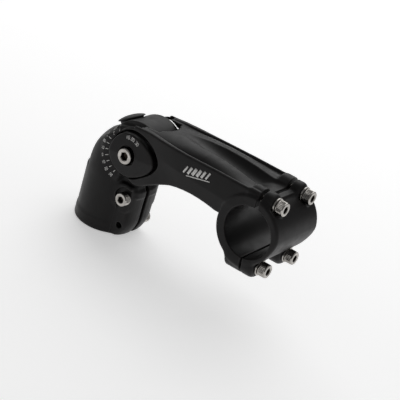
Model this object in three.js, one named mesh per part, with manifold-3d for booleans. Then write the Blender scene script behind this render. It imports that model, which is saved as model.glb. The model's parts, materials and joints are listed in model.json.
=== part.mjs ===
// Adjustable handlebar stem for a 28.6 mm steerer tube and a 31.8 mm handlebar.
// Units are millimetres. +Z runs up the steerer axis, +X points forward to the handlebar, and the
// right side faces -Y. The origin is the centre of the steerer bore on the clamp's bottom face.
import * as THREE from 'three';
import { mergeVertices } from 'three/addons/utils/BufferGeometryUtils.js';
import Module from 'manifold-3d';

const wasm = await Module();
wasm.setup();

// ---- Driving dimensions -------------------------------------------------------------------------
const GAP = 0.3;                       // running clearance between neighbouring pieces

const STEERER_R = 14.3;                // steerer bore
const STEERER_TOP = 42;                // depth of the steerer bore
const CLAMP_R = 19.5;                  // outside of the steerer clamp
const SKIRT_R = 19.9;                  // flared foot of the clamp
const SKIRT_H = 8.5;
const SLOT_W = 3.2;                    // clamp slot at the front
const EAR_X = 26.2;                    // front of the pinch ears
const EAR_HALF = 13.2;                 // spot faces of the pinch bolts
const EAR_Z0 = 4;
const EAR_Z1 = 36;
const PINCH_X = 20.4;
const PINCH_Z_UPPER = 28.8;
const PINCH_Z_LOWER = 9;
const LOWER_HEAD_RECESS = 3;           // the lower pinch bolt's head is let into the left ear

const PIVOT_X = 17;                    // tilt axis, along Y
const PIVOT_Z = 58.5;
const BARREL_R = 19.9;                 // barrel between the arm's cheeks
const BARREL_HALF = 11.2;
const SHOULDER_HALF = 16.4;            // side faces that carry the angle scale
const SHOULDER_POCKET_R = 14.7;
const SHOULDER_FROM = 133;             // polar angles of the shoulders about the tilt axis, degrees
const SHOULDER_TO = 256;
const HOOD_R = 32.7;                   // crown of the hood
const HOOD_X = 16;
const HOOD_Z = 42;
const HOOD_BASE = 30;                  // where the hood starts on the clamp

const CHEEK_INNER = 11.5;              // arm cheeks, from the middle plane
const CHEEK_OUTER = 18.3;
const ARM_OUTER = 21.4;                // the arm widens to this half width ahead of its cheeks
const WIDEN_FROM = 20;
const WIDEN_TO = 60;
const RIM_INNER = 16.7;                // the thin rim that passes outside the shoulders
const EYE_R = 14.2;
const PLATE_FLOOR = 15.5;              // floor of the drop-shaped pocket
const PLATE_FACE = 20.5;               // outer face of the pivot plate
const PLATE_R = 13.7;
const PLATE_TIP = 20.3;
const PLATE_PITCH = 10;                // degrees above +X
const PLATE_SPREAD = 33.4;             // degrees either side of the tip
const POCKET_ROOM = 0.8;               // least space round the plate in its pocket
const COUNTERBORE = 16.8;              // seat of the pivot bolt's head, from the middle plane
const COUNTERBORE_R = 6.1;
const SLEEVE_R = 5;                    // bush in the barrel
const SLEEVE_HALF = 9.4;
const INDEX_R = 10.5;                  // toothed rings beside the barrel
const INDEX_BORE_R = 6.8;
const INDEX_TIPS = 10.15;              // toothed side and back of a ring, from the middle plane
const INDEX_ROOTS = 10.7;
const INDEX_BACK = 11.9;
const INDEX_TEETH = 24;

const BAR_X = 111.3;                   // handlebar axis, along Y
const BAR_Z = 59.05;
const BAR_R = 15.9;
const RING_R = 21.3;
const RING_HALF = 22.1;
const CLAMP_PITCH = 3.35;              // the clamp faces this many degrees above +X
const SPLIT = 0.6;                     // split plane ahead of the handlebar axis
const SPLIT_TOP_GAP = 2;
const EAR_AHEAD = 9.4;                 // spot faces of the faceplate ears
const BOLT_Y = 14.3;
const BOLT_R = 20.1;                   // faceplate bolt axes above and below the handlebar axis
const UPPER_BOSS_R = 6.6;
const LOWER_BOSS_R = 7.4;
const FACE_R = 20.3;                   // outside of the faceplate, a little behind and above the bar axis
const FACE_X = -0.8;
const FACE_Z = 1;
const CHIN_AHEAD = 18.6;               // flat on the faceplate's lower front, from the bar axis
const CHIN_PITCH = -31.3;              // degrees that the flat looks down

const M5_R = 2.5;
const M5_HEAD_R = 4.25;
const M5_HEAD_H = 5;
const M5_HEX = 4;                      // across flats
const M5_GRIP = 18;                    // shank of a faceplate bolt
const WASHER_R = 4.9;
const WASHER_T = 0.9;
const M6_R = 3;
const M6_HEAD_R = 5;
const M6_HEAD_H = 5.2;
const M6_HEX = 5;
const NUT_FLATS = 10;
const NUT_T = 4.6;

const PLUG_R = 8.6;                    // access plug over the steerer's top bolt
const PLUG_STEM_R = 7.3;
const PLUG_TILT = 36.5;                // degrees that it leans back from +Z
const PLUG_X = 0;
const PLUG_Z = 70.6;
const ACCESS_R = 7.9;

const CHANNEL_X = 36;                  // V channel in the arm's top: its point, floor and half width
const CHANNEL_Z = 79.6;
const CHANNEL_END = 108;
const CHANNEL_HALF = 9.6;
const RAIL_INSET = 4.4;                // from the arm's side to the foot of a rail

const FINE = 64;
const MEDIUM = 40;
const SMALL = 24;
const FAR = 60;                        // beyond every face, for cutting tools
const rad = THREE.MathUtils.degToRad;

// ---- Solids -------------------------------------------------------------------------------------
// Turns a closed geometry into a solid, ready to be joined and cut.
function solid(geometry) {
  const bare = geometry.index ? geometry.toNonIndexed() : geometry.clone();
  bare.deleteAttribute('normal');
  bare.deleteAttribute('uv');
  const merged = mergeVertices(bare, 1e-4);
  return new wasm.Manifold(new wasm.Mesh({
    numProp: 3,
    vertProperties: new Float32Array(merged.attributes.position.array),
    triVerts: new Uint32Array(merged.index.array),
  }));
}

function join(...parts) {
  return parts.reduce((sum, part) => sum.add(part));
}

function cut(body, ...tools) {
  return tools.reduce((rest, tool) => rest.subtract(tool), body);
}

// Block between two corners.
function block(x0, x1, y0, y1, z0, z1) {
  const geometry = new THREE.BoxGeometry(x1 - x0, y1 - y0, z1 - z0);
  geometry.translate((x0 + x1) / 2, (y0 + y1) / 2, (z0 + z1) / 2);
  return solid(geometry);
}

// Round bar along +X, +Y or +Z from its start point.
function bar(axis, radius, length, x, y, z, segments = MEDIUM) {
  const geometry = new THREE.CylinderGeometry(radius, radius, length, segments);
  geometry.translate(0, length / 2, 0);
  if (axis === 'x') geometry.rotateZ(-Math.PI / 2);
  if (axis === 'z') geometry.rotateX(Math.PI / 2);
  geometry.translate(x, y, z);
  return solid(geometry);
}

// Round bar along Y, centred on the middle plane.
function crossBar(radius, half, x, z, segments = MEDIUM) {
  return bar('y', radius, 2 * half, x, -half, z, segments);
}

// Pair of round bars about the tilt axis, one on each side, between two distances from the middle plane.
function endBars(radius, near, far) {
  return [-far, near].map((y) => bar('y', radius, far - near, PIVOT_X, y, PIVOT_Z, FINE));
}

// Cone frustum along +X.
function cone(radius0, radius1, length, x, y, z) {
  const geometry = new THREE.CylinderGeometry(radius1, radius0, length, MEDIUM);
  geometry.rotateZ(-Math.PI / 2);
  geometry.translate(x + length / 2, y, z);
  return solid(geometry);
}

function ball(radius, x, y, z) {
  const geometry = new THREE.SphereGeometry(radius, MEDIUM, SMALL);
  geometry.translate(x, y, z);
  return solid(geometry);
}

// Body turned about +Z from [radius, height] pairs.
function turned(profile, segments = FINE) {
  const points = profile.map(([radius, height]) => new THREE.Vector2(radius, height));
  const geometry = new THREE.LatheGeometry(points, segments);
  geometry.rotateX(Math.PI / 2);
  return solid(geometry);
}

// Outline in X and Z, extruded between two Y planes.
function sideOutline(shape, y0, y1) {
  const options = { depth: y1 - y0, bevelEnabled: false, curveSegments: 20 };
  const geometry = new THREE.ExtrudeGeometry(shape, options);
  geometry.rotateX(Math.PI / 2);
  geometry.translate(0, y1, 0);
  return solid(geometry);
}

// Outline in X and Y, extruded up Z.
function planOutline(shape, z0, z1) {
  const options = { depth: z1 - z0, bevelEnabled: false, curveSegments: 12 };
  const geometry = new THREE.ExtrudeGeometry(shape, options);
  geometry.translate(0, 0, z0);
  return solid(geometry);
}

function polygon(points) {
  return new THREE.Shape(points.map(([x, y]) => new THREE.Vector2(x, y)));
}

// Sector about the tilt axis, between two polar angles in degrees.
function sector(from, to, radius, y0, y1) {
  const shape = new THREE.Shape();
  shape.moveTo(PIVOT_X, PIVOT_Z);
  shape.absarc(PIVOT_X, PIVOT_Z, radius, rad(from), rad(to), false);
  return sideOutline(shape, y0, y1);
}

// Degrees from one polar angle to another, between -180 and 180.
function turn(from, to) {
  return THREE.MathUtils.euclideanModulo(to - from + 180, 360) - 180;
}

// Outline about the tilt axis from its radius at each polar angle.
function roundOutline(reach, steps = 90) {
  const points = [];
  for (let i = 0; i < steps; i += 1) {
    const angle = 360 * i / steps;
    const radius = reach(angle);
    points.push([PIVOT_X + radius * Math.cos(rad(angle)), PIVOT_Z + radius * Math.sin(rad(angle))]);
  }
  return polygon(points);
}

// The plate is a disc drawn out to a blunt tip.
function plateReach(angle) {
  const off = Math.abs(turn(PLATE_PITCH, angle));
  return PLATE_R + (PLATE_TIP - PLATE_R) * Math.exp(-((off / PLATE_SPREAD) ** 1.7));
}

// The pocket is close round the disc, with more room above the drop and at its tip.
function pocketReach(angle) {
  const off = turn(PLATE_PITCH + 4, angle);
  const spread = off > 0 ? 42 : 31;
  const above = Math.exp(-((turn(85, angle) / 45) ** 2));
  return PLATE_R + POCKET_ROOM + 1.6 * above + 9 * Math.exp(-((Math.abs(off) / spread) ** 1.7));
}

// Plan of the arm, widening from the cheeks to the clamp, with its sides moved in by an inset.
function armPlan(inset) {
  const steps = 10;
  const edge = [[-40, CHEEK_OUTER - inset]];
  for (let i = 0; i <= steps; i += 1) {
    const t = i / steps;
    const half = CHEEK_OUTER + (ARM_OUTER - CHEEK_OUTER) * THREE.MathUtils.smoothstep(t, 0, 1);
    edge.push([WIDEN_FROM + t * (WIDEN_TO - WIDEN_FROM), half - inset]);
  }
  edge.push([140, ARM_OUTER - inset]);
  return polygon([...edge, ...edge.map(([x, y]) => [x, -y]).reverse()].reverse());
}

// A solid moved by a matrix.
function moved(body, matrix) {
  return new wasm.Manifold(body.getMesh()).transform(matrix.elements);
}

// The clamp frame has its origin on the handlebar axis and its X axis along the faceplate bolts.
const clampFrame = new THREE.Matrix4()
  .makeTranslation(BAR_X, 0, BAR_Z)
  .multiply(new THREE.Matrix4().makeRotationY(-rad(CLAMP_PITCH)));

const plugFrame = new THREE.Matrix4()
  .makeTranslation(PLUG_X, 0, PLUG_Z)
  .multiply(new THREE.Matrix4().makeRotationY(-rad(PLUG_TILT)));

// ---- Materials ----------------------------------------------------------------------------------
const aluminium = { color: 0x26262a, roughness: 0.42, metalness: 0.35 };
const bore = { color: 0x1b1b1d, roughness: 0.5, metalness: 0.4 };
const steel = { color: 0xc9cbcd, roughness: 0.24, metalness: 1 };
const plastic = { color: 0x161617, roughness: 0.6, metalness: 0 };
const bronze = { color: 0x8c6d3f, roughness: 0.4, metalness: 0.9 };

function node(name, body, look) {
  const mesh = body.getMesh();
  const geometry = new THREE.BufferGeometry();
  geometry.setAttribute('position', new THREE.BufferAttribute(new Float32Array(mesh.vertProperties), 3));
  geometry.setIndex(new THREE.BufferAttribute(new Uint32Array(mesh.triVerts), 1));
  geometry.computeVertexNormals();
  const part = new THREE.Mesh(geometry, new THREE.MeshStandardMaterial(look));
  part.name = name;
  return part;
}

// ---- Steerer clamp ------------------------------------------------------------------------------
function steererClamp() {
  const tube = turned([
    [0, 0], [SKIRT_R, 0], [SKIRT_R, 0.8 * SKIRT_H], [CLAMP_R, SKIRT_H], [CLAMP_R, 35], [0, 35],
  ]);
  const earShape = new THREE.Shape();
  earShape.moveTo(2, -EAR_HALF);
  earShape.lineTo(EAR_X - 4.5, -EAR_HALF);
  earShape.quadraticCurveTo(EAR_X - 0.7, -EAR_HALF, EAR_X, -5);
  earShape.lineTo(EAR_X, 5);
  earShape.quadraticCurveTo(EAR_X - 0.7, EAR_HALF, EAR_X - 4.5, EAR_HALF);
  earShape.lineTo(2, EAR_HALF);
  const ears = planOutline(earShape, EAR_Z0, EAR_Z1);

  // The neck carries the barrel, and the hood closes the head over the steerer.
  const neck = sideOutline(
    polygon([
      [0, 34], [EAR_X - 0.2, 34], [EAR_X - 1.8, 35.2], [22.4, 41], [PIVOT_X + 4, PIVOT_Z], [0, PIVOT_Z],
    ]),
    -BARREL_HALF, BARREL_HALF,
  );
  const barrel = crossBar(BARREL_R, BARREL_HALF, PIVOT_X, PIVOT_Z, FINE);
  const crown = ball(HOOD_R, HOOD_X, 0, HOOD_Z);
  const column = turned([
    [0, HOOD_BASE], [CLAMP_R, HOOD_BASE], [CLAMP_R, 36], [19.1, 41], [18.3, 46.5],
    [15.9, 60], [13.7, 72], [12.6, 78], [0, 78],
  ]);
  const shoulders = sector(SHOULDER_FROM, SHOULDER_TO, FAR, -SHOULDER_HALF, SHOULDER_HALF);
  const lowHood = block(-30, 30, -20, 20, HOOD_BASE, PIVOT_Z - SHOULDER_POCKET_R - 1.5);
  const middle = block(-30, 30, -BARREL_HALF, BARREL_HALF, HOOD_BASE, 80);
  const hood = column.intersect(crown).intersect(join(shoulders, lowHood, middle));

  const eyePockets = endBars(SHOULDER_POCKET_R, BARREL_HALF, FAR);
  const ringSeats = endBars(INDEX_R + 0.4, INDEX_TIPS - 0.35, FAR);
  const pinchHoles = [PINCH_Z_UPPER, PINCH_Z_LOWER].map((z) => crossBar(M5_R + GAP, FAR, PINCH_X, z, SMALL));
  const headSeat = bar('y', M5_HEAD_R + 1, 20, PINCH_X, EAR_HALF - LOWER_HEAD_RECESS, PINCH_Z_LOWER, SMALL);
  const access = bar('z', ACCESS_R, 30, -1, 0, 35);
  const plugSeat = moved(bar('z', ACCESS_R, 24, 0, 0, -9), plugFrame);
  const plugFace = moved(bar('z', PLUG_R + 0.6, 24, 0, 0, -2.6), plugFrame);
  return cut(
    join(tube, ears, neck, barrel, hood),
    bar('z', STEERER_R, STEERER_TOP + 5, 0, 0, -5, FINE),
    block(10, 40, -SLOT_W / 2, SLOT_W / 2, -5, 38),
    crossBar(SLEEVE_R + GAP, FAR, PIVOT_X, PIVOT_Z, SMALL),
    access, plugSeat, plugFace, headSeat,
    ...eyePockets, ...ringSeats, ...pinchHoles,
  );
}

// ---- Arm ----------------------------------------------------------------------------------------
// The four bolt positions of the clamp, as [y, z] in the clamp frame.
const BOLT_PLACES = [-BOLT_Y, BOLT_Y].flatMap((y) => [[y, -BOLT_R], [y, BOLT_R]]);

function boltHoles(radius) {
  return join(...BOLT_PLACES.map(([y, z]) => bar('x', radius, FAR, -14, y, z, SMALL)));
}

function arm() {
  const flank = new THREE.Shape();
  flank.moveTo(PIVOT_X - 10.5, PIVOT_Z + 15.4);
  flank.lineTo(14.3, 77);
  flank.lineTo(28, 78.6);
  flank.lineTo(45, 79.5);
  flank.lineTo(59, 80.3);
  flank.lineTo(80, 81.7);
  flank.lineTo(BAR_X - 9, 83);
  flank.lineTo(BAR_X - 2, 60);
  flank.lineTo(BAR_X - 26, 58.6);
  flank.quadraticCurveTo(66, 61.7, 51, 56.3);
  flank.quadraticCurveTo(42, 52.3, 34.3, 46.8);
  flank.quadraticCurveTo(30, 43.2, 25, 42.8);
  flank.absarc(PIVOT_X, PIVOT_Z, EYE_R, rad(-95), rad(-230), true);
  const sides = sideOutline(flank, -ARM_OUTER, ARM_OUTER).intersect(planOutline(armPlan(0), 20, 100));
  const eye = crossBar(EYE_R, CHEEK_OUTER, PIVOT_X, PIVOT_Z, FINE);

  // The two rails rise above the side edges and spread towards the clamp.
  const railShape = polygon([[24, 74], [28, 79.4], [59, 82.1], [97, 85.2], [104, 82], [90, 70], [40, 64]]);
  const railPlan = planOutline(armPlan(RAIL_INSET), 20, 100);
  const rails = sideOutline(railShape, -ARM_OUTER, ARM_OUTER).intersect(railPlan);
  const ring = moved(crossBar(RING_R, RING_HALF, 0, 0, FINE), clampFrame);
  const upper = [-1, 1].map((side) => bar('x', UPPER_BOSS_R, 8, -7, side * BOLT_Y, BOLT_R));
  const lower = [-1, 1].map((side) => bar('x', LOWER_BOSS_R, 11.6, -10.6, side * BOLT_Y, -BOLT_R));
  const bosses = moved(join(...upper, ...lower), clampFrame);
  const body = join(sides, eye, rails, ring, bosses);

  // Between the cheeks the barrel turns, and a window opens over it.
  const barrelRoom = crossBar(BARREL_R + 0.6, CHEEK_INNER, PIVOT_X, PIVOT_Z, FINE);
  const rear = sideOutline(
    polygon([[-20, 30], [-20, 100], [28.5, 100], [30.5, 78], [PIVOT_X, PIVOT_Z], [28, 40], [28, 30]]),
    -CHEEK_INNER, CHEEK_INNER,
  );
  const windowEnd = bar('z', CHEEK_INNER, FAR, 22, 0, 66);
  const slopeBack = sector(82, 236, FAR, -RIM_INNER, RIM_INNER);
  const behindEye = cut(slopeBack, crossBar(EYE_R, FAR, PIVOT_X, PIVOT_Z, FINE));
  const lowRear = cut(
    sector(180, 264, FAR, -30, 30),
    crossBar(EYE_R, FAR, PIVOT_X, PIVOT_Z, FINE),
  );

  // Drop-shaped pockets for the plates, open to the rear.
  const pocketDrop = roundOutline(pocketReach);
  const pockets = join(
    sideOutline(pocketDrop, -30, -PLATE_FLOOR),
    sideOutline(pocketDrop, PLATE_FLOOR, 30),
  );

  // V channel between the rails.
  const vee = new THREE.Shape();
  vee.moveTo(CHANNEL_X, 0);
  vee.lineTo(CHANNEL_END, -CHANNEL_HALF);
  vee.lineTo(130, -CHANNEL_HALF);
  vee.lineTo(130, CHANNEL_HALF);
  vee.lineTo(CHANNEL_END, CHANNEL_HALF);
  const channelFloor = new THREE.Matrix4()
    .makeTranslation(CHANNEL_X, 0, CHANNEL_Z)
    .multiply(new THREE.Matrix4().makeRotationY(rad(1.5)))
    .multiply(new THREE.Matrix4().makeTranslation(-CHANNEL_X, 0, 0));
  const channel = moved(planOutline(vee, 0, 20), channelFloor);

  const front = moved(block(SPLIT, FAR, -30, 30, -FAR, FAR), clampFrame);
  const holes = moved(boltHoles(M5_R + GAP), clampFrame);
  const ringSeats = endBars(INDEX_R + 0.4, CHEEK_INNER - 1, INDEX_BACK + GAP);
  return cut(
    body, barrelRoom, rear, windowEnd, behindEye, lowRear, pockets, channel, front, holes,
    moved(crossBar(BAR_R, FAR, 0, 0, FINE), clampFrame),
    crossBar(M6_R + 0.4, FAR, PIVOT_X, PIVOT_Z, SMALL),
    ...ringSeats,
  );
}

// ---- Faceplate, in the clamp frame --------------------------------------------------------------
function faceplate() {
  const chin = new THREE.Matrix4().makeRotationY(-rad(CHIN_PITCH));
  const ring = cut(
    crossBar(FACE_R, RING_HALF, FACE_X, FACE_Z, FINE),
    moved(block(CHIN_AHEAD, FAR, -30, 30, -FAR, FAR), chin),
  );
  const ears = BOLT_PLACES.map(([y, z]) => {
    const radius = z > 0 ? UPPER_BOSS_R : LOWER_BOSS_R;
    return join(
      bar('x', radius, EAR_AHEAD - 3 - SPLIT, SPLIT, y, z),
      cone(radius, radius - 0.8, 1.8, EAR_AHEAD - 3, y, z),
      cone(radius - 0.8, WASHER_R - 0.1, 1.2, EAR_AHEAD - 1.2, y, z),
    );
  });
  const bridges = [-1, 1].map((side) => {
    const z0 = side < 0 ? -BOLT_R - 3.6 : 12;
    const z1 = side < 0 ? -12 : BOLT_R + 1.2;
    return block(SPLIT, EAR_AHEAD - 2.4, -BOLT_Y, BOLT_Y, z0, z1);
  });
  const behind = block(-FAR, SPLIT + 0.9, -40, 40, -FAR, FAR);
  const upperSplit = block(-FAR, SPLIT + SPLIT_TOP_GAP, -40, 40, 10, FAR);
  const body = cut(
    join(ring, ...ears, ...bridges),
    behind, upperSplit, crossBar(BAR_R, FAR, 0, 0, FINE), boltHoles(M5_R + GAP),
    ...BOLT_PLACES.map(([y, z]) => bar('x', WASHER_R + 0.6, 12, EAR_AHEAD, y, z)),
  );
  return moved(body, clampFrame);
}

// ---- Fasteners ----------------------------------------------------------------------------------
// Socket cap screw along +Z: its tip at z = 0, its head on top, and the socket open upwards.
function capScrew(length, shankR, headR, headH, flats) {
  const top = length + headH;
  const body = turned([
    [0, 0], [shankR - 0.5, 0], [shankR, 0.5], [shankR, length],
    [headR, length], [headR, top - 0.5], [headR - 0.5, top], [0, top],
  ], SMALL);
  const hex = new THREE.CylinderGeometry(flats / Math.sqrt(3), flats / Math.sqrt(3), headH, 6);
  hex.rotateX(Math.PI / 2);
  hex.translate(0, 0, top + headH / 2 - 0.55 * headH);
  return cut(body, solid(hex));
}

function washer() {
  const inner = M5_R + 0.35;
  return turned([[inner, 0], [WASHER_R, 0], [WASHER_R, WASHER_T], [inner, WASHER_T], [inner, 0]], SMALL);
}

// Matrix that stands a +Z piece on a point and turns it to face a direction.
function facing(direction, x, y, z) {
  const turn = new THREE.Quaternion().setFromUnitVectors(new THREE.Vector3(0, 0, 1), direction);
  return new THREE.Matrix4().compose(new THREE.Vector3(x, y, z), turn, new THREE.Vector3(1, 1, 1));
}

const ahead = new THREE.Vector3(1, 0, 0);
const towardsRight = new THREE.Vector3(0, -1, 0);
const towardsLeft = new THREE.Vector3(0, 1, 0);

function faceplateFasteners() {
  const parts = [];
  for (const [level, z] of [['upper', BOLT_R], ['lower', -BOLT_R]]) {
    for (const [side, y] of [['right', -BOLT_Y], ['left', BOLT_Y]]) {
      const seat = EAR_AHEAD + GAP;
      const washerBody = moved(washer(), clampFrame.clone().multiply(facing(ahead, seat, y, z)));
      parts.push(node(`faceplate_washer_${level}_${side}`, washerBody, steel));
      const under = seat + WASHER_T + GAP;
      const bolt = moved(
        capScrew(M5_GRIP, M5_R, M5_HEAD_R, M5_HEAD_H, M5_HEX),
        clampFrame.clone().multiply(facing(ahead, under - M5_GRIP, y, z)),
      );
      parts.push(node(`faceplate_bolt_${level}_${side}`, bolt, steel));
    }
  }
  return parts;
}

function pinchBolts() {
  const length = 2 * EAR_HALF - 1;
  const under = EAR_HALF + GAP;
  const upper = moved(
    capScrew(length, M5_R, M5_HEAD_R, M5_HEAD_H, M5_HEX),
    facing(towardsRight, PINCH_X, length - under, PINCH_Z_UPPER),
  );
  const lowerLength = length - 2 * LOWER_HEAD_RECESS;
  const lowerUnder = under - LOWER_HEAD_RECESS;
  const lower = moved(
    capScrew(lowerLength, M5_R, M5_HEAD_R, M5_HEAD_H, M5_HEX),
    facing(towardsLeft, PINCH_X, lowerUnder - lowerLength, PINCH_Z_LOWER),
  );
  return [node('pinch_bolt_upper', upper, steel), node('pinch_bolt_lower', lower, steel)];
}

// ---- Pivot --------------------------------------------------------------------------------------
const PLATE_BACK = PLATE_FLOOR + GAP;
const PIVOT_HEAD_SEAT = COUNTERBORE + GAP;

function pivotPlate(side) {
  const outline = roundOutline(plateReach);
  const [y0, y1] = side < 0 ? [-PLATE_FACE, -PLATE_BACK] : [PLATE_BACK, PLATE_FACE];
  const step = 0.6;
  const [e0, e1] = side < 0 ? [-PLATE_FACE - 1, -PLATE_FACE + step] : [PLATE_FACE - step, PLATE_FACE + 1];
  const inner = roundOutline((angle) => plateReach(angle) - step);
  const edge = cut(block(-5, 45, e0, e1, 35, 80), sideOutline(inner, e0 - 1, e1 + 1));
  const seatY = side < 0 ? -30 : COUNTERBORE;
  return cut(
    sideOutline(outline, y0, y1), edge,
    crossBar(M6_R + 0.4, FAR, PIVOT_X, PIVOT_Z, SMALL),
    bar('y', COUNTERBORE_R, 30 - COUNTERBORE, PIVOT_X, seatY, PIVOT_Z),
  );
}

function pivotBolt() {
  const length = PIVOT_HEAD_SEAT + PIVOT_HEAD_SEAT + NUT_T + 0.1;
  return moved(
    capScrew(length, M6_R, M6_HEAD_R, M6_HEAD_H, M6_HEX),
    facing(towardsRight, PIVOT_X, length - PIVOT_HEAD_SEAT, PIVOT_Z),
  );
}

function pivotNut() {
  const corner = NUT_FLATS / Math.sqrt(3);
  const geometry = new THREE.CylinderGeometry(corner, corner, NUT_T, 6);
  geometry.translate(PIVOT_X, PIVOT_HEAD_SEAT + NUT_T / 2, PIVOT_Z);
  return cut(solid(geometry), crossBar(M6_R + 0.35, FAR, PIVOT_X, PIVOT_Z, SMALL));
}

function pivotSleeve() {
  return cut(
    crossBar(SLEEVE_R, SLEEVE_HALF, PIVOT_X, PIVOT_Z, SMALL),
    crossBar(M6_R + 0.35, FAR, PIVOT_X, PIVOT_Z, SMALL),
  );
}

// Ring with radial teeth on the side that faces the barrel.
function indexRing(side) {
  const y0 = side < 0 ? -INDEX_BACK : INDEX_TIPS;
  let ring = cut(
    bar('y', INDEX_R, INDEX_BACK - INDEX_TIPS, PIVOT_X, y0, PIVOT_Z, 2 * INDEX_TEETH),
    crossBar(INDEX_BORE_R, FAR, PIVOT_X, PIVOT_Z, SMALL),
  );
  const grooveWidth = 0.75;
  for (let i = 0; i < INDEX_TEETH; i += 1) {
    const groove = new THREE.BoxGeometry(12, INDEX_ROOTS - INDEX_TIPS, grooveWidth);
    groove.translate(9, side * ((INDEX_ROOTS + INDEX_TIPS) / 2 - 0.05), 0);
    groove.rotateY(i * 2 * Math.PI / INDEX_TEETH);
    groove.translate(PIVOT_X, 0, PIVOT_Z);
    ring = cut(ring, solid(groove));
  }
  return ring;
}

// ---- Access plug, in its own frame --------------------------------------------------------------
function accessPlug() {
  const body = turned([
    [0, -8], [PLUG_STEM_R, -8], [PLUG_STEM_R, 0.6], [PLUG_R, 0.6],
    [PLUG_R, 1.5], [PLUG_R * 0.7, 2.5], [PLUG_R * 0.35, 3], [0, 3.1],
  ], MEDIUM);
  const hollow = bar('z', PLUG_STEM_R - 1.8, 8, 0, 0, -9, MEDIUM);
  return moved(cut(body, hollow), plugFrame);
}

// ---- Assembly -----------------------------------------------------------------------------------
const stem = new THREE.Group();
stem.add(node('steerer_clamp', steererClamp(), aluminium));
stem.add(node('arm', arm(), aluminium));
stem.add(node('faceplate', faceplate(), aluminium));
stem.add(...faceplateFasteners());
stem.add(...pinchBolts());
stem.add(node('pivot_plate_right', pivotPlate(-1), aluminium));
stem.add(node('pivot_plate_left', pivotPlate(1), aluminium));
stem.add(node('pivot_bolt', pivotBolt(), steel));
stem.add(node('pivot_nut', pivotNut(), steel));
stem.add(node('pivot_sleeve', pivotSleeve(), bronze));
stem.add(node('index_ring_right', indexRing(-1), bore));
stem.add(node('index_ring_left', indexRing(1), bore));
stem.add(node('access_plug', accessPlug(), plastic));

export default stem;
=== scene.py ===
"""The look of the adjustable handlebar stem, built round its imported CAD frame.

The forgings are implicit solids: each is a distance field in millimetres, joined and cut with round fillets,
then turned into a quad mesh whose vertices lie on the surface. Screws, nut, washers, rings, bush and plug are
lofts of rings about an axis. Every piece rides on its CAD body and replaces its CAD node.
"""
import json
import math

import bpy
import numpy as np
from mathutils import Matrix, Vector


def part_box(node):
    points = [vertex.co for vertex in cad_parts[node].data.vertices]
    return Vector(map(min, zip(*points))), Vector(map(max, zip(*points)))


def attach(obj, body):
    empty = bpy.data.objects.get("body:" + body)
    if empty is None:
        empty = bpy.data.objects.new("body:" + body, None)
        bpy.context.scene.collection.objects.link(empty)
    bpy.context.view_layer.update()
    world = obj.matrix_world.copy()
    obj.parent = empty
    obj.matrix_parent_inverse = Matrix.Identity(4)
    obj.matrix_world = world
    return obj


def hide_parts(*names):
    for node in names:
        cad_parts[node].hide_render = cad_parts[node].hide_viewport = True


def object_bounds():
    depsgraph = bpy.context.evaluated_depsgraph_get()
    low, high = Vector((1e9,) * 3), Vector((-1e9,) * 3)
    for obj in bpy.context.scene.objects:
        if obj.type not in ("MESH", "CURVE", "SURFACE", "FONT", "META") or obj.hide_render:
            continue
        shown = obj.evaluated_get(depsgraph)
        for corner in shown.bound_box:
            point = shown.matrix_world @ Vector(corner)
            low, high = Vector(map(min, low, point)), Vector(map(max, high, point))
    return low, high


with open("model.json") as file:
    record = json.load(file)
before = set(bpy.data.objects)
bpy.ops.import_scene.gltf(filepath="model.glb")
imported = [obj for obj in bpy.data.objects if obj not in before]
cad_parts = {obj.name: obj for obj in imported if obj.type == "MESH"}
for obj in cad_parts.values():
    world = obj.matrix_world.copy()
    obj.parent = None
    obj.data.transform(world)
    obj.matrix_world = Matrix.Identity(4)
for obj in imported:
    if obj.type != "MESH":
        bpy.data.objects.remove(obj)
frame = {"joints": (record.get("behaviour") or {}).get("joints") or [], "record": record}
CAD_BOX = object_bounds()
MM = 0.001
NET = 0.5           # mesh pitch of the forgings, mm
FINE_NET = 0.36     # mesh pitch of the plates, mm

JOINTS = {joint["name"]: joint for joint in frame["joints"]}


def joint_place(name):
    """A joint's point in millimetres and its axis."""
    joint = JOINTS[name]
    return [value / MM for value in joint["pos_m"]], Vector(joint["axis"]).normalized()


# ---- Driving dimensions, mm ------------------------------------------------------------------------------
(PIVOT_X, _, PIVOT_Z), _ = joint_place("arm_tilt")
(_, _, UPPER_BOLT_Z), CLAMP_AXIS = joint_place("face_upper_right_turn")
(_, BOLT_SIDE, LOWER_BOLT_Z), _ = joint_place("face_lower_right_turn")
CLAMP_PITCH = math.atan2(CLAMP_AXIS.z, CLAMP_AXIS.x)
BOLT_Y = abs(BOLT_SIDE)
BOLT_R = (UPPER_BOLT_Z - LOWER_BOLT_Z) / 2 / math.cos(CLAMP_PITCH)
BAR_X, BAR_Z = 111.3, (UPPER_BOLT_Z + LOWER_BOLT_Z) / 2
BAR_R = 15.9
RING_R = 21.8                                    # rear half of the handlebar clamp
RING_HALF = 22.1
SPLIT = 0.6                                      # the arm's face at the split, ahead of the bar's axis
SPLIT_GAP = 0.9
SPLIT_TOP_GAP = 2.0
EAR_AHEAD = 9.4
UPPER_BOSS_R, LOWER_BOSS_R = 6.3, 7.7
UPPER_BOSS_BACK, LOWER_BOSS_BACK = 7.0, 10.6
FACE_R, FACE_U, FACE_W = 20.7, -0.8, 1.0         # the faceplate's outer circle and its centre
CHIN_ANGLE, CHIN_AHEAD = -31.3, 18.6             # flat under the faceplate's chin
LOW_BRIDGE = (-15.4, 4.1, 6.6)                   # web between the ears: middle w, half height, end u
HIGH_BRIDGE = (16.6, 4.7, 6.4)
SPOT_FACE_R = 5.5                                # seat cut for a washer

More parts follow.
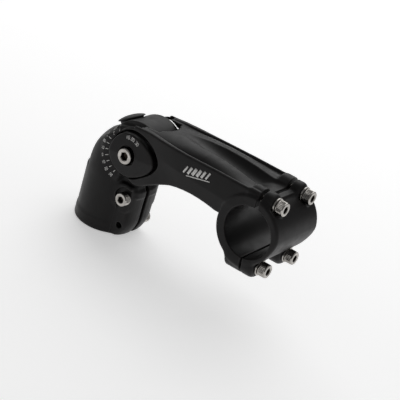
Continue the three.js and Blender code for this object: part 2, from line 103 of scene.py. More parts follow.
STEERER_R = 14.3
STEERER_TOP = 42.0
CLAMP_R = 19.5
SKIRT_FLARE, SKIRT_TOP, SKIRT_FADE = 0.4, 9.4, 3.2
DOME_FROM, DOME_PULL, DOME_SOFT = 36.0, 0.15, 8.0    # the wall draws in above this height
HEAD_TOP = 78.0
EAR_X = 26.2
EAR_HALF = 13.2
EAR_Z0, EAR_Z1 = 0.6, 36.0
EAR_CURL, CURL_BELOW = 0.026, 14.0               # the ears' lower ends curl back
SLOT_W = 3.2
SLOT_FROM_X, SLOT_TOP = 10.0, 38.5
(PINCH_X, _, PINCH_Z_UPPER), _ = joint_place("pinch_upper_turn")
(_, _, PINCH_Z_LOWER), _ = joint_place("pinch_lower_turn")
LOWER_HEAD_RECESS = 4.6
THREAD_FROM_Y, THREAD_CORE_R = -10, 2.0          # the lower pinch hole narrows beyond this y

BARREL_R = 19.9
BARREL_HALF = 11.2
SHOULDER_R = 21.5
SHOULDER_HALF = 16.4
SHOULDER_POCKET_R = 14.7
SHOULDER_FROM, SHOULDER_TO = 133.0, 256.0        # polar angles about the tilt axis
HUB_FROM, HUB_R, HUB_HALF = 73.0, 19.2, 14.2     # ring beside the barrel, under the arm's roof
ROOF_FROM, ROOF_TO = 31.0, 82.0                  # polar angles between which the arm roofs that ring
PAD_R, PAD_HALF = 9.4, 14.8                      # swelling round the upper pinch bolt
SPOT_R = 7.0                                     # flat seat for the upper pinch bolt's head
CROWN_R, CROWN_X, CROWN_Z = 32.3, 16.0, 41.8     # sphere that crowns the hood
SLEEVE_BORE_R = 5.3
INDEX_R, INDEX_RECESS = 10.9, 1.4                # seats of the index rings in the barrel

CHEEK_INNER = 11.5
CHEEK_OUTER = 18.3
ARM_OUTER = 21.8
RIM_INNER = 16.7
EYE_R = 14.2
PLATE_FLOOR = 15.5
PLATE_BACK = 15.8
PLATE_FACE = 20.5
PLATE_R = 13.7
PLATE_TIP = 20.3
PLATE_PITCH = 10.0
COUNTERBORE, COUNTERBORE_R = 16.8, 6.1
PLATE_SPREAD, DROP_POWER = 33.4, 1.7             # how fast the drop narrows from its tip, degrees
RIDGE_SLOPE, RIDGE_SOFT = 0.13, 0.4              # the plate's face falls away from a soft middle ridge
POCKET_ROOM, POCKET_TURN, POCKET_TIP = 0.8, 4.0, 9.0
POCKET_SPREAD_ABOVE, POCKET_SPREAD_BELOW = 42, 31
POCKET_BULGE, BULGE_AT, BULGE_SPREAD = 1.6, 85, 45

PLUG_AXIS = Vector(JOINTS["plug_pull"]["axis"]).normalized()
PLUG_X, PLUG_Z = 0.6, 71.0
PLUG_R = 8.6
ACCESS_R = 7.9

M5_R, M5_HEAD_R, M5_HEAD_H, M5_HEX, M5_PITCH = 2.5, 4.25, 5.0, 4.0, 0.8
M6_R, M6_HEAD_R, M6_HEAD_H, M6_HEX, M6_PITCH = 3.0, 5.0, 5.2, 5.0, 1.0
CLEAR = 0.3
M6_CLEAR = 0.4


# ---- Distance fields -------------------------------------------------------------------------------------
def meet(a, b, r=0.0):
    """Intersection of two fields, its convex edge rounded to radius r."""
    if r <= 0:
        return np.maximum(a, b)
    return np.minimum(-r, np.maximum(a, b)) + np.hypot(np.maximum(a + r, 0), np.maximum(b + r, 0))


def join(a, b, r=0.0):
    """Union of two fields, its concave corner filled to radius r."""
    return -meet(-a, -b, r)


def cut(a, b, r=0.0):
    """Field a without field b."""
    return meet(a, -b, r)


def smooth(t):
    """Eases from 0 to 1."""
    t = np.clip(t, 0, 1)
    return t * t * (3 - 2 * t)


def outline(points, x, z):
    """Signed distance to a closed polygon in the X-Z plane, negative inside."""
    nearest = np.full(np.broadcast(x, z).shape, 1e9)
    inside = np.zeros(nearest.shape, bool)
    for (ax, az), (bx, bz) in zip(points, points[1:] + points[:1]):
        ex, ez = bx - ax, bz - az
        px, pz = x - ax, z - az
        t = np.clip((px * ex + pz * ez) / (ex * ex + ez * ez), 0, 1)
        nearest = np.minimum(nearest, np.hypot(px - t * ex, pz - t * ez))
        if ez:
            inside ^= ((az > z) != (bz > z)) & (px < pz * ex / ez)
    return np.where(inside, -nearest, nearest)


def arc(cx, cz, radius, start, end, steps):
    """Points on an arc, angles in degrees."""
    return [
        (cx + radius * math.cos(math.radians(a)), cz + radius * math.sin(math.radians(a)))
        for a in np.linspace(start, end, steps)
    ]


def bend(p0, p1, p2, steps=7):
    """Points on a quadratic curve, without its first point."""
    ts = np.linspace(0, 1, steps)[1:]
    return [
        tuple((1 - t) ** 2 * a + 2 * t * (1 - t) * b + t * t * c for a, b, c in zip(p0, p1, p2))
        for t in ts
    ]


def pivot_r(x, z):
    """Distance from the tilt axis."""
    return np.hypot(x - PIVOT_X, z - PIVOT_Z)


def ray_side(x, z, angle):
    """Distance to the ray's line from the tilt axis, positive on its anticlockwise side."""
    a = math.radians(angle)
    return -(x - PIVOT_X) * math.sin(a) + (z - PIVOT_Z) * math.cos(a)


def clamp_place(x, z):
    """The clamp frame's coordinates: u ahead along the faceplate bolts, w up."""
    c, s = math.cos(CLAMP_PITCH), math.sin(CLAMP_PITCH)
    return (x - BAR_X) * c + (z - BAR_Z) * s, -(x - BAR_X) * s + (z - BAR_Z) * c


def polar(x, z):
    """Angle about the tilt axis in degrees, 0 ahead and 90 up."""
    return np.degrees(np.arctan2(z - PIVOT_Z, x - PIVOT_X))


def apart(angle, other):
    """Difference of two angles, from -180 to 180 degrees."""
    return (angle - other + 180) % 360 - 180


def around(x, z, reach):
    """Distance to an outline given as a radius for each polar angle about the tilt axis."""
    r, angle = pivot_r(x, z), polar(x, z)
    rho = reach(angle)
    steep = (reach(angle + 0.5) - reach(angle - 0.5)) / math.radians(1) / rho
    return (r - rho) / np.sqrt(1 + steep * steep)


def plate_reach(angle):
    """Drop-shaped plate: a disc drawn out to a blunt tip."""
    off = np.abs(apart(angle, PLATE_PITCH))
    return PLATE_R + (PLATE_TIP - PLATE_R) * np.exp(-(off / PLATE_SPREAD) ** DROP_POWER)


def pocket_reach(angle):
    """The plate's pocket: close round the disc, with more room above the drop and at its tip."""
    off = apart(angle, PLATE_PITCH + POCKET_TURN)
    spread = np.where(off > 0, POCKET_SPREAD_ABOVE, POCKET_SPREAD_BELOW)
    above = np.exp(-(apart(angle, BULGE_AT) / BULGE_SPREAD) ** 2)
    tip = np.exp(-(np.abs(off) / spread) ** DROP_POWER)
    return PLATE_R + POCKET_ROOM + POCKET_BULGE * above + POCKET_TIP * tip


# ---- Steerer clamp ---------------------------------------------------------------------------------------
EAR_PLAN = (
    [(0.0, 0.0), (EAR_X, 0.0), (EAR_X, 5.0)]
    + bend((EAR_X, 5.0), (EAR_X - 0.7, EAR_HALF - 0.6), (EAR_X - 4.5, EAR_HALF), 8)
    + [(15.0, EAR_HALF), (2.0, EAR_HALF), (0.0, EAR_HALF)]
)
NECK = [(0, 30), (EAR_X - 0.2, 30), (EAR_X - 1.8, 35.0), (22.4, 41), (PIVOT_X + 4, PIVOT_Z), (0, PIVOT_Z)]


def steerer_clamp(x, y, z):
    """Base forging: clamp column, hood, barrel and pinch ears."""
    side = np.abs(y)
    rise = np.maximum(z - DOME_FROM, 0)
    flare = SKIRT_FLARE * smooth((SKIRT_TOP - z) / SKIRT_FADE)
    wall = CLAMP_R + flare - DOME_PULL * rise * rise / (rise + DOME_SOFT)
    column = np.hypot(x, y) - wall
    crown = np.sqrt((x - CROWN_X) ** 2 + y ** 2 + (z - CROWN_Z) ** 2) - CROWN_R
    flat = meet(pivot_r(x, z) - SHOULDER_R, side - SHOULDER_HALF, 3.0)
    sector = meet(-ray_side(x, z, SHOULDER_FROM), ray_side(x, z, SHOULDER_TO), 1.0)
    hub = np.maximum(-ray_side(x, z, HUB_FROM), ray_side(x, z, SHOULDER_FROM + 10))
    hub = np.maximum(hub, PIVOT_X - 30 - x)
    room = join(join(side - BARREL_HALF, sector, 0.6), z - (PIVOT_Z - SHOULDER_POCKET_R - 1.2), 0.6)
    head = join(column, meet(flat, sector, 1.0), 3.0)
    head = meet(meet(head, join(crown, z - DOME_FROM, 0), 0.8), room, 0.7)
    head = meet(head, z - HEAD_TOP, 0)
    ring = meet(meet(pivot_r(x, z) - HUB_R, side - HUB_HALF, 0.6), hub, 0.3)
    head = join(head, meet(ring, crown - 2.0, 1.0), 1.4)

    barrel = meet(pivot_r(x, z) - BARREL_R, side - BARREL_HALF, 0.7)
    neck = meet(outline(NECK, x, z), side - BARREL_HALF + 0.2, 2.6)
    curl = EAR_CURL * np.square(np.maximum(CURL_BELOW - z, 0))
    ear_ends = np.maximum(EAR_Z0 - z, z - EAR_Z1 - 0.25 * (19 - x))
    ears = meet(outline(EAR_PLAN, x + curl, side), ear_ends, 1.2)
    pad = meet(np.hypot(x - PINCH_X + 0.8, z - PINCH_Z_UPPER) - PAD_R, side - PAD_HALF, 1.6)
    body = join(join(head, barrel, 1.6), neck, 2.0)
    body = join(join(body, ears, 1.6), meet(pad, x - EAR_X + 2.4, 1.5), 2.2)
    spot = join(
        np.hypot(x - PINCH_X, z - PINCH_Z_UPPER) - SPOT_R,
        np.maximum(np.abs(x - PINCH_X - 0.3) - 4.9, z - PINCH_Z_UPPER), 1.5,
    )
    body = cut(body, meet(spot, EAR_HALF - side), 0.6)
    body = meet(body, -z, 0.9)

    body = cut(body, meet(np.hypot(x, y) - STEERER_R, z - STEERER_TOP), 0.5)
    body = cut(body, meet(np.maximum(SLOT_FROM_X - x, side - SLOT_W / 2), z - SLOT_TOP), 0.35)
    eye_pocket = meet(pivot_r(x, z) - SHOULDER_POCKET_R, BARREL_HALF - side)
    body = cut(body, eye_pocket, 0.45)
    body = cut(body, meet(pivot_r(x, z) - INDEX_R, BARREL_HALF - INDEX_RECESS - side), 0.2)
    body = cut(body, pivot_r(x, z) - SLEEVE_BORE_R, 0.3)
    body = cut(body, meet(np.hypot(x + 1, y) - ACCESS_R, 35 - z), 0.3)
    body = cut(body, meet(np.hypot(x - PINCH_X, z - PINCH_Z_UPPER) - M5_R - CLEAR, 6 - x), 0.35)
    lower = np.hypot(x - PINCH_X, z - PINCH_Z_LOWER)
    body = cut(body, lower - np.where(y > THREAD_FROM_Y, M5_R + CLEAR, THREAD_CORE_R), 0.35)
    recess = meet(lower - M5_HEAD_R - 1, EAR_HALF - LOWER_HEAD_RECESS - y)
    body = cut(body, recess, 0.4)

    u = (x - PLUG_X) * PLUG_AXIS.x + (z - PLUG_Z) * PLUG_AXIS.z
    across = np.hypot((x - PLUG_X) * PLUG_AXIS.z - (z - PLUG_Z) * PLUG_AXIS.x, y)
    body = cut(body, meet(across - ACCESS_R, -9 - u), 0.3)
    return cut(body, meet(across - PLUG_R - 0.6, -2.6 - u), 0.5)


# ---- Arm -------------------------------------------------------------------------------------------------
REAR_X = 6.5
EDGE_X = [REAR_X, 14.3, 28.0, 36.0, 45.0, 57.0, 80.0, 100.0, 118.0]     # top of the lips at the arm's sides
EDGE_Z = [74.4, 77.9, 79.5, 79.8, 80.1, 80.7, 82.2, 83.1, 83.8]
WIDEN_FROM, WIDEN_TO = 20.0, 60.0
SIDE_CREASE_Z = 69.0      # the arm's sides are widest here and lean in above and below
LEAN_ABOVE, LEAN_BELOW = 0.10, 0.18
LEAN_FROM, LEAN_OVER = 34, 22
RIM_FROM, RIM_TO = 95, 150
RIM_R = 18.4
FLANK = (
    [(BAR_X - 1.0, 95.0), (BAR_X - 2.0, 60.0), (BAR_X - 26.0, 58.4)]
    + bend((BAR_X - 26.0, 58.4), (66.0, 61.4), (51.0, 56.0))
    + bend((51.0, 56.0), (42.0, 52.0), (34.3, 46.5))
    + bend((34.3, 46.5), (30.0, 43.0), (25.0, 42.7))
    + arc(PIVOT_X, PIVOT_Z, EYE_R, -82, -360 + RIM_TO, 22)
    + [
        arc(PIVOT_X, PIVOT_Z, RIM_R - (RIM_R - EYE_R) * (a - RIM_FROM) / (RIM_TO - RIM_FROM), a, a, 1)[0]
        for a in range(RIM_TO - 5, RIM_FROM - 1, -5)
    ]
    + [(PIVOT_X - RIM_R * math.sin(math.radians(RIM_FROM - 90)), 95.0)]
)
LIP_W = 4.2               # lip at each side, outside the foot of the bar
LIP_FADE = 1.2
BAR_FALL = 2.6            # power of the bar's fall from its crest to its foot
CREST = ([32, 44, 55, 66, 88, 104, 120], [0.0, 3.5, 6.2, 7.0, 8.1, 8.6, 8.6])
RISE = ([20, 36, 50, 66, 77, 88, 97, 104, 120], [0.3, 1.1, 1.8, 2.1, 1.5, 0.4, -0.8, -1.6, -2.5])
SUNK = ([8, 24, 36, 60, 100], [0.2, 0.6, 1.2, 1.6, 1.6])
TROUGH = ([36, 44, 50, 66, 77, 88, 97, 104, 120], [0.0, 0.4, 1.1, 3.4, 4.4, 5.0, 4.8, 3.6, 3.0])
REAR_OPENING = [(-20, 30), (-20, 99), (28.5, 99), (30.0, 80), (PIVOT_X, PIVOT_Z), (28, 40), (28, 30)]
SIDE_STEEP, TOP_STEEP = 0.97, 0.9                # keep the leaning sides and sloping top true distances


def arm_half(x):
    """Half width of the arm, which widens ahead of its cheeks."""
    return CHEEK_OUTER + (ARM_OUTER - CHEEK_OUTER) * smooth((x - WIDEN_FROM) / (WIDEN_TO - WIDEN_FROM))


def arm_top(x, side):
    """Height of the arm's top: a lip at each side, and two crested bars with a trough between them."""
    edge = np.interp(x, EDGE_X, EDGE_Z)
    foot_y = arm_half(x) - LIP_W
    crest_y = np.interp(x, *CREST)
    rise = np.interp(x, *RISE)
    sunk = np.interp(x, *SUNK)
    depth = np.interp(x, *TROUGH)
    fall = np.clip((side - crest_y) / (foot_y - crest_y), 0, 1)
    bar = rise - (rise + sunk) * fall ** BAR_FALL
    lip = -sunk * (1 - smooth((side - foot_y) / LIP_FADE))
    trough = depth * np.clip(1 - np.square(side / np.maximum(crest_y, 0.5)), 0, 1)
    return edge + np.where(side < foot_y, bar, lip) - trough


def boss_pair(side, w):
    """Round bosses about the faceplate bolts, the lower ones larger."""
    return np.hypot(side - BOLT_Y, np.abs(w) - BOLT_R) - np.where(w > 0, UPPER_BOSS_R, LOWER_BOSS_R)


def arm(x, y, z):
    """Arm forging: two cheeks astride the barrel, the beam, and the rear half of the handlebar clamp."""
    side = np.abs(y)
    u, w = clamp_place(x, z)
    r = pivot_r(x, z)
    lean = LEAN_ABOVE * np.maximum(z - SIDE_CREASE_Z, 0) + LEAN_BELOW * np.maximum(SIDE_CREASE_Z - z, 0)
    wide = arm_half(x) - lean * smooth((x - LEAN_FROM) / LEAN_OVER)
    flank = meet(outline(FLANK, x, z), (side - wide) * SIDE_STEEP, 1.3)
    body = meet(flank, (z - arm_top(x, side)) * TOP_STEEP, 1.2)
    body = join(body, meet(r - EYE_R, side - CHEEK_OUTER, 0.8), 0.0)
    ring = meet(np.hypot(u, w) - RING_R, side - RING_HALF, 1.0)
    body = join(body, ring, 1.4)
    back = np.where(w > 0, UPPER_BOSS_BACK, LOWER_BOSS_BACK)
    body = join(body, meet(boss_pair(side, w), -u - back, 1.4), 2.4)

    body = cut(body, meet(r - BARREL_R - 0.6, side - CHEEK_INNER), 0.5)
    body = cut(body, meet(outline(REAR_OPENING, x, z), side - CHEEK_INNER), 0.6)
    body = cut(body, meet(np.hypot(x - 22, y) - CHEEK_INNER, 66 - z), 0.8)
    behind = np.maximum(np.maximum(-ray_side(x, z, ROOF_TO), EYE_R - r), side - RIM_INNER)
    body = cut(body, behind, 0.3)
    low = np.maximum(np.maximum(ray_side(x, z, ROOF_TO + 2), x - PIVOT_X + 1.5), EYE_R - r)
    body = cut(body, np.maximum(low, z - PIVOT_Z), 0.0)
    roof = np.maximum(ray_side(x, z, ROOF_TO + 2), -ray_side(x, z, ROOF_FROM))
    roof = np.maximum(roof, r - HUB_R - CLEAR)
    roof = np.maximum(roof, np.maximum(EYE_R - r, side - PLATE_FLOOR + 1.0))
    body = cut(body, roof, 0.0)
    pocket = meet(around(x, z, pocket_reach), PLATE_FLOOR - side)
    body = cut(body, pocket, 0.7)
    body = cut(body, SPLIT - u, 0.5)
    body = cut(body, np.hypot(u, w) - BAR_R, 0.45)
    body = cut(body, np.hypot(side - BOLT_Y, np.abs(w) - BOLT_R) - M5_R - CLEAR, 0.2)
    body = cut(body, r - M6_R - M6_CLEAR, 0.2)
    return cut(body, meet(r - INDEX_R, side - CHEEK_INNER - 0.7), 0.2)


# ---- Faceplate -------------------------------------------------------------------------------------------
def faceplate(x, y, z):
    """Front half of the handlebar clamp, with four bolt ears and a web between each pair."""
    side = np.abs(y)
    u, w = clamp_place(x, z)
    ring = meet(np.hypot(u - FACE_U, w - FACE_W) - FACE_R, side - RING_HALF, 2.0)
    a = math.radians(CHIN_ANGLE)
    ring = meet(ring, u * math.cos(a) + w * math.sin(a) - CHIN_AHEAD, 3.0)
    ears = meet(boss_pair(side, w), u - EAR_AHEAD, 3.3)
    body = join(ring, ears, 1.8)
    for middle, half, end in (LOW_BRIDGE, HIGH_BRIDGE):
        bridge = meet(np.maximum(np.abs(w - middle) - half, u - end), side - BOLT_Y, 1.0)
        body = join(body, bridge, 1.6)
    back = np.where(w > 0, SPLIT + SPLIT_TOP_GAP, SPLIT + SPLIT_GAP)
    body = meet(body, back - u, 0.5)
    body = cut(body, np.hypot(u, w) - BAR_R, 0.45)
    hole = np.hypot(side - BOLT_Y, np.abs(w) - BOLT_R)
    body = cut(body, hole - M5_R - CLEAR, 0.2)
    return cut(body, meet(hole - SPOT_FACE_R, EAR_AHEAD - 0.05 - u), 0.3)


def pivot_plate(x, y, z):
    """The right-hand plate; the left one is its mirror image."""
    r = pivot_r(x, z)
    a = math.radians(PLATE_PITCH)
    off = -(x - PIVOT_X) * math.sin(a) + (z - PIVOT_Z) * math.cos(a)
    roofed = -y - PLATE_FACE + RIDGE_SLOPE * (np.hypot(off, RIDGE_SOFT) - RIDGE_SOFT)
    body = meet(around(x, z, plate_reach), roofed, 0.9)
    body = meet(body, y + PLATE_BACK, 0.2)
    body = cut(body, r - M6_R - M6_CLEAR, 0.2)
    return cut(body, meet(r - COUNTERBORE_R, y + COUNTERBORE), 0.4)


# ---- Meshing ---------------------------------------------------------------------------------------------
def slope_of(field, p, step=0.03):
    """Gradient of a field at points p."""
    out = np.empty_like(p)
    for axis in range(3):
        ahead, behind = p.copy(), p.copy()
        ahead[:, axis] += step
        behind[:, axis] -= step
        out[:, axis] = (field(*ahead.T) - field(*behind.T)) / (2 * step)
    return out


NEWTON_STEPS = 4


def skin(field, low, high, pitch):
    """Quad mesh of a field's zero surface: one vertex for each grid cell that the surface crosses."""
    axes = [np.arange(a - pitch, b + 2 * pitch, pitch) for a, b in zip(low, high)]
    shape = tuple(len(a) for a in axes)
    values = field(axes[0][:, None, None], axes[1][None, :, None], axes[2][None, None, :])
    values = np.broadcast_to(values, shape).astype(np.float32)
    solid = values < 0
    corners = [(i, j, k) for i in (0, 1) for j in (0, 1) for k in (0, 1)]

    def shifted(a, c):
        return a[c[0]:shape[0] - 1 + c[0], c[1]:shape[1] - 1 + c[1], c[2]:shape[2] - 1 + c[2]]

    count = sum(shifted(solid, c).astype(np.int8) for c in corners)
    cells = np.argwhere((count > 0) & (count < 8))
    at = [values[tuple((cells + c).T)] for c in corners]
    total = np.zeros((len(cells), 3))
    hits = np.zeros(len(cells))
    for m, a in enumerate(corners):
        for axis in range(3):
            if a[axis]:
                continue
            n = corners.index(tuple(v + (q == axis) for q, v in enumerate(a)))
            crossed = (at[m] < 0) != (at[n] < 0)
            t = np.where(crossed, at[m] / np.where(crossed, at[m] - at[n], 1), 0)
            point = np.array(a, float)[None, :] + t[:, None] * np.eye(3)[axis]
            total += point * crossed[:, None]
            hits += crossed
    points = (cells + total / hits[:, None]) * pitch + np.array([a[0] for a in axes])
    for _ in range(NEWTON_STEPS):
        g = slope_of(field, points)
        step = field(*points.T)[:, None] * g / np.maximum((g * g).sum(1), 0.2)[:, None]
        points -= np.clip(step, -pitch, pitch)

    index = np.full(tuple(n - 1 for n in shape), -1)
    index[tuple(cells.T)] = np.arange(len(cells))
    quads = []
    for axis in range(3):
        b, c = (axis + 1) % 3, (axis + 2) % 3
        first = solid.take(range(shape[axis] - 1), axis)
        second = solid.take(range(1, shape[axis]), axis)
        edges = np.argwhere(first != second)
        edges = edges[(edges[:, b] > 0) & (edges[:, c] > 0)]
        edges = edges[(edges[:, b] < shape[b] - 1) & (edges[:, c] < shape[c] - 1)]
        ring = []
        for db, dc in ((-1, -1), (0, -1), (0, 0), (-1, 0)):
            cell = edges.copy()
            cell[:, b] += db
            cell[:, c] += dc
            ring.append(index[tuple(cell.T)])
        ring = np.stack(ring, 1)
        inwards = second[tuple(edges.T)]
        ring[inwards] = ring[inwards][:, ::-1]
        quads.append(ring)
    return points, np.concatenate(quads)


def put_mesh(name, points, faces):
    """A smooth-shaded object from points in millimetres."""
    mesh = bpy.data.meshes.new(name)
    mesh.from_pydata((np.asarray(points) * MM).tolist(), [], [list(map(int, f)) for f in faces])
    mesh.validate()
    mesh.shade_smooth()
    piece = bpy.data.objects.new(name, mesh)
    bpy.context.scene.collection.objects.link(piece)
    return piece


def mark(piece, name, values):
    """Stores a number per vertex for the materials."""
    attribute = piece.data.attributes.new(name, "FLOAT", "POINT")
    attribute.data.foreach_set("value", values.astype(np.float32))


def forging(name, field, low, high, pitch):
    """A field's skin as an object, with its convex edges marked in the attribute 'edge'."""
    points, quads = skin(field, low, high, pitch)
    reach = 0.8
    bulge = -6 * field(*points.T)
    for axis in range(3):
        for sign in (-1, 1):
            near = points.copy()
            near[:, axis] += sign * reach
            bulge += field(*near.T)
    piece = put_mesh(name, points, quads)
    mark(piece, "edge", np.clip(bulge / reach, -1, 1))
    return piece


def loft(name, rings, segments, closed=False, sharp=32, shaded_rings=0):
    """Quads through rings of (radius, height) about +Z; each value is a number or one value per segment.

    The last rings, as many as the last argument asks for, get 1 in a vertex attribute that marks painted
    shade: the screw's socket is coloured darker there.
    """
    turn = np.arange(segments) * 2 * math.pi / segments
    points, faces = [], []
    for radius, height in rings:
        radius = np.broadcast_to(np.asarray(radius, float), segments)
        height = np.broadcast_to(np.asarray(height, float), segments)
        points.append(np.stack([radius * np.cos(turn), radius * np.sin(turn), height], 1))
    count = len(rings)
    for i in range(count if closed else count - 1):
        a, b = i * segments, (i + 1) % count * segments
        faces += [(a + s, a + (s + 1) % segments, b + (s + 1) % segments, b + s) for s in range(segments)]
    points = np.concatenate(points)
    if not closed:
        middle = [points[:segments].mean(0), points[-segments:].mean(0)]
        base = (count - 1) * segments
        bottom, top = len(points), len(points) + 1
        points = np.concatenate([points, middle])
        faces += [(bottom, (s + 1) % segments, s) for s in range(segments)]
        faces += [(top, base + s, base + (s + 1) % segments) for s in range(segments)]
    piece = put_mesh(name, points, faces)
    piece.data.set_sharp_from_angle(angle=math.radians(sharp))
    if shaded_rings:
        # Painted shade: the deepest rings, down in a screw's socket, are marked to be coloured dark.
        mark(piece, "socket_shade", np.arange(len(piece.data.vertices)) >= (count - shaded_rings) * segments)
    return piece


def stand(piece, point, direction):
    """Moves a piece made about +Z: its zero goes to a point, in millimetres, and +Z along a direction."""
    turn = Vector((0, 0, 1)).rotation_difference(Vector(direction)).to_matrix().to_4x4()
    piece.data.transform(Matrix.Translation(Vector(point) * MM) @ turn)
    return piece


# ---- Fasteners and small parts ---------------------------------------------------------------------------
def hexagon(segments, flats):
    """Radius of a hexagon with rounded corners, one value per segment."""
    turn = np.arange(segments) * 2 * math.pi / segments
    flat = flats / 2 / np.cos((turn + math.pi / 6) % (math.pi / 3) - math.pi / 6)
    return np.minimum(flat, flats / math.sqrt(3) * 0.985)


def thread_rings(radius, pitch, start, end, segments):
    """Rings of a V thread, from one height to another."""
    turn = np.arange(segments) / segments
    rings = []
    for height in np.arange(start, end, pitch / 6):
        phase = (height / pitch - turn) % 1
        fade = min(1, (height - start) / pitch, (end - height) / pitch)
        groove = 0.55 * pitch * fade * np.abs(2 * phase - 1) * 0.8
        rings.append((radius - 0.08 * radius * (1 - fade) - groove, height))
    return rings


KNURL_TEETH, KNURL_DEPTH = 36, 0.11
SOCKET_DEPTH = 0.68        # of the head's height


def cap_screw(name, length, radius, head_r, head_h, flats, pitch):
    """Socket head cap screw along +Z, its head's underside at z = 0 and its shank below."""
    segments = 144
    turn = np.arange(segments) * 2 * math.pi / segments
    knurl = head_r - KNURL_DEPTH + KNURL_DEPTH * np.cos(KNURL_TEETH * turn)
    smooth_r = head_r - 0.04
    socket = hexagon(segments, flats)
    mouth = flats / math.sqrt(3) + 0.12
    depth = SOCKET_DEPTH * head_h
    rings = [(0.35 * radius, -length), (radius - 0.55, -length), (radius - 0.3, -length + 0.25)]
    rings += thread_rings(radius, pitch, -length + 0.3, -2.0, segments)
    rings += [
        (radius - 0.02, -1.8), (radius - 0.02, -0.25), (radius + 0.2, 0.0),
        (head_r - 0.35, 0.0), (smooth_r - 0.1, 0.06), (smooth_r, 0.25),
        (smooth_r, 0.55), (knurl, 0.75), (knurl, head_h - 0.95), (smooth_r, head_h - 0.75),
        (smooth_r, head_h - 0.5), (head_r - 0.14, head_h - 0.24), (head_r - 0.32, head_h - 0.07),
        (head_r - 0.55, head_h), (mouth + 0.1, head_h), (mouth, head_h - 0.03),
        (socket, head_h - 0.3), (socket, head_h - 0.4), (socket, head_h - depth),
        (socket * 0.96, head_h - depth - 0.06), (0.3, head_h - depth - 0.55),
    ]
    # The socket's last four rings take the painted shade.
    return loft(name, rings, segments, shaded_rings=4)


def pipe(name, inner, outer, z0, z1, soft, segments=72):
    """Ring or tube along +Z with rounded edges."""
    ring = []
    corners = [(outer, z0, 270), (outer, z1, 0), (inner, z1, 90), (inner, z0, 180)]
    for radius, height, start in corners:
        cr = radius - soft if radius == outer else radius + soft
        cz = height + soft if height == z0 else height - soft
        for a in np.radians(np.linspace(start, start + 90, 4)):
            ring.append((cr + soft * math.cos(a), cz + soft * math.sin(a)))
    return loft(name, ring, segments, closed=True)


def hex_nut(name, flats, inner, z0, z1):
    """Chamfered hexagon nut along +Z."""
    segments = 96
    wide = hexagon(segments, flats)
    round_r = flats / 2 * 1.02
    rings = [
        (inner + 0.3, z0), (np.minimum(wide, round_r), z0), (wide, z0 + 0.5), (wide, z1 - 0.5),
        (np.minimum(wide, round_r), z1), (inner + 0.3, z1), (inner, z1 - 0.3), (inner, z0 + 0.3),
    ]
    return loft(name, rings, segments, closed=True)


def toothed_ring(name, inner, outer, tips, root, back, teeth):
    """Ring with radial teeth on the side at its tips; heights are along +Z, towards the back."""
    segments = teeth * 12
    phase = np.arange(segments) / 12 % 1
    wave = np.clip(1.6 * np.abs(2 * phase - 1) - 0.3, 0, 1)
    face = tips + (root - tips) * wave
    rings = [
        (inner, face + 0.1), (inner + 0.15, face), (outer - 0.15, face), (outer, face + 0.1),
        (outer, back - 0.2), (outer - 0.2, back), (inner + 0.2, back), (inner, back - 0.2),
    ]
    return loft(name, rings, segments, closed=True)


def plug(name):
    """Push-in lid: a thin crowned flange on a hollow stem, with a grip rib round the stem's foot."""
    rings = [        # from the crown's middle out to the rim, down the stem, and up its inside
        (0.05, 3.1), (2.0, 3.05), (4.0, 2.83), (6.0, 2.4), (7.4, 1.96), (8.2, 1.6), (8.5, 1.38),
        (8.6, 1.1), (8.5, 0.86), (8.25, 0.72), (7.7, 0.62), (7.4, 0.45), (7.3, 0.1),
        (7.3, -5.2), (7.38, -5.5), (7.46, -5.9), (7.4, -6.3), (7.2, -7.2), (7.0, -7.75), (6.7, -8.0),
        (6.0, -8.0), (5.7, -7.8), (5.6, -7.4), (5.6, -1.6), (5.2, -1.2), (0.05, -1.1),
    ]
    return loft(name, [(r, h) for r, h in reversed(rings)], 96, sharp=50)


# ---- Materials -------------------------------------------------------------------------------------------
def fresh_material(name):
    """A material with only a Principled shader, its output and texture coordinates."""
    material = bpy.data.materials.new(name)
    material.use_nodes = True
    tree = material.node_tree
    tree.nodes.clear()
    shader = tree.nodes.new("ShaderNodeBsdfPrincipled")
    out = tree.nodes.new("ShaderNodeOutputMaterial")
    tree.links.new(shader.outputs[0], out.inputs[0])
    place = tree.nodes.new("ShaderNodeTexCoord")
    return material, tree, shader, place


def noise(tree, place, scale, detail=3.0, rough=0.55):
    """Noise fixed to the object; the scale is in features per metre."""
    node = tree.nodes.new("ShaderNodeTexNoise")
    node.inputs["Scale"].default_value = scale
    node.inputs["Detail"].default_value = detail
    node.inputs["Roughness"].default_value = rough
    tree.links.new(place.outputs["Object"], node.inputs["Vector"])
    return node.outputs[0]


def ramp(tree, source, low, high, a, b):
    """Maps source from low..high to a..b."""
    node = tree.nodes.new("ShaderNodeMapRange")
    for key, value in zip(("From Min", "From Max", "To Min", "To Max"), (low, high, a, b)):
        node.inputs[key].default_value = value
    tree.links.new(source, node.inputs["Value"])
    return node.outputs[0]


def maths(tree, kind, a, b):
    """One Math node on two numbers or sockets."""
    node = tree.nodes.new("ShaderNodeMath")
    node.operation = kind
    for socket, value in zip(node.inputs, (a, b)):
        if isinstance(value, (int, float)):
            socket.default_value = value
        else:
            tree.links.new(value, socket)
    return node.outputs[0]


def blend_colour(tree, factor, a, b):
    """Mixes two colours or sockets."""
    node = tree.nodes.new("ShaderNodeMix")
    node.data_type = "RGBA"
    tree.links.new(factor, node.inputs[0])
    for socket, value in zip((node.inputs[6], node.inputs[7]), (a, b)):
        if isinstance(value, tuple):
            socket.default_value = (*value, 1)
        else:
            tree.links.new(value, socket)
    return node.outputs[2]


def bump(tree, shader, heights):
    """Chains bumps: each is (source, strength, distance in metres)."""
    normal = None
    for source, strength, distance in heights:
        node = tree.nodes.new("ShaderNodeBump")
        node.inputs["Strength"].default_value = strength
        node.inputs["Distance"].default_value = distance
        tree.links.new(source, node.inputs["Height"])
        if normal:
            tree.links.new(normal, node.inputs["Normal"])
        normal = node.outputs[0]
    tree.links.new(normal, shader.inputs["Normal"])


